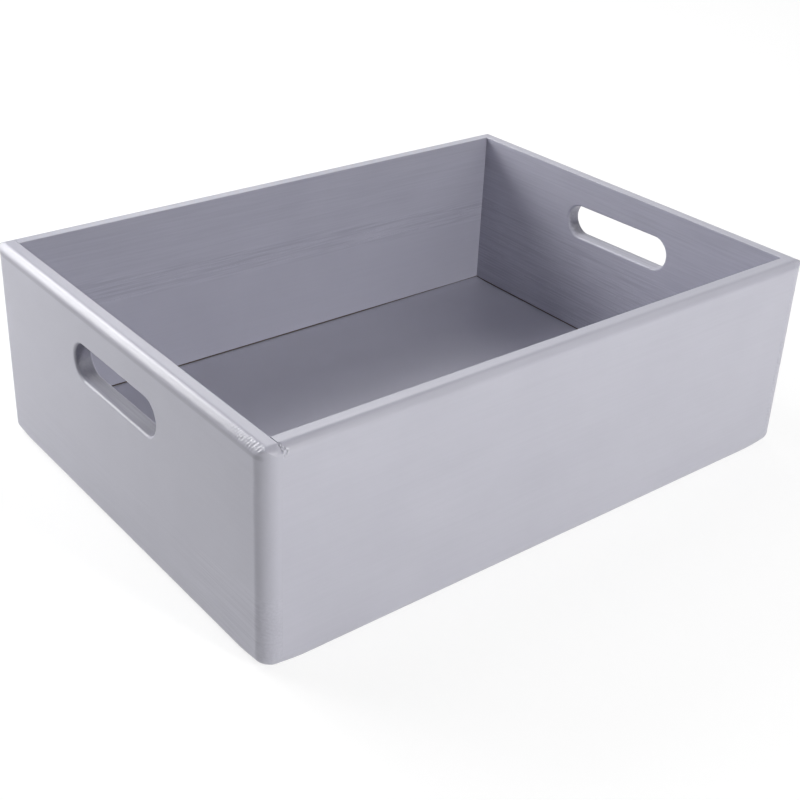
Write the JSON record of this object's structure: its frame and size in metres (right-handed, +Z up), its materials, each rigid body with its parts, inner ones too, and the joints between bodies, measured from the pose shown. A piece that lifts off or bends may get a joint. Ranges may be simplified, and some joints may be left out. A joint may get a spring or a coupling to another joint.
{
  "type": "wooden crate",
  "caption": "Low open wooden crate with rounded outer edges, painted pale grey, with a slot-shaped hand hold through each end and a thin bottom sheet held in grooves.",
  "frame": {"origin": "on the ground, below the middle of the crate", "axes": "+X along the crate's length to the right end, +Y to the back, +Z up"},
  "size_m": [0.4, 0.295, 0.13],
  "materials": {
    "painted_pine": "pale grey satin paint over pine, with faint grain",
    "painted_sheet": "pale grey satin paint over a smooth sheet",
    "bare_beech": "bare fluted dowel"
  },
  "bodies": {
    "root": {"front_panel": "painted_pine", "back_panel": "painted_pine", "left_end_panel": "painted_pine", "right_end_panel": "painted_pine", "bottom_panel": "painted_sheet", "dowel_front_left_1": "bare_beech", "dowel_front_left_2": "bare_beech", "dowel_front_left_3": "bare_beech", "dowel_back_left_1": "bare_beech", "dowel_back_left_2": "bare_beech", "dowel_back_left_3": "bare_beech", "dowel_front_right_1": "bare_beech", "dowel_front_right_2": "bare_beech", "dowel_front_right_3": "bare_beech", "dowel_back_right_1": "bare_beech", "dowel_back_right_2": "bare_beech", "dowel_back_right_3": "bare_beech"}
  },
  "joints": []
}
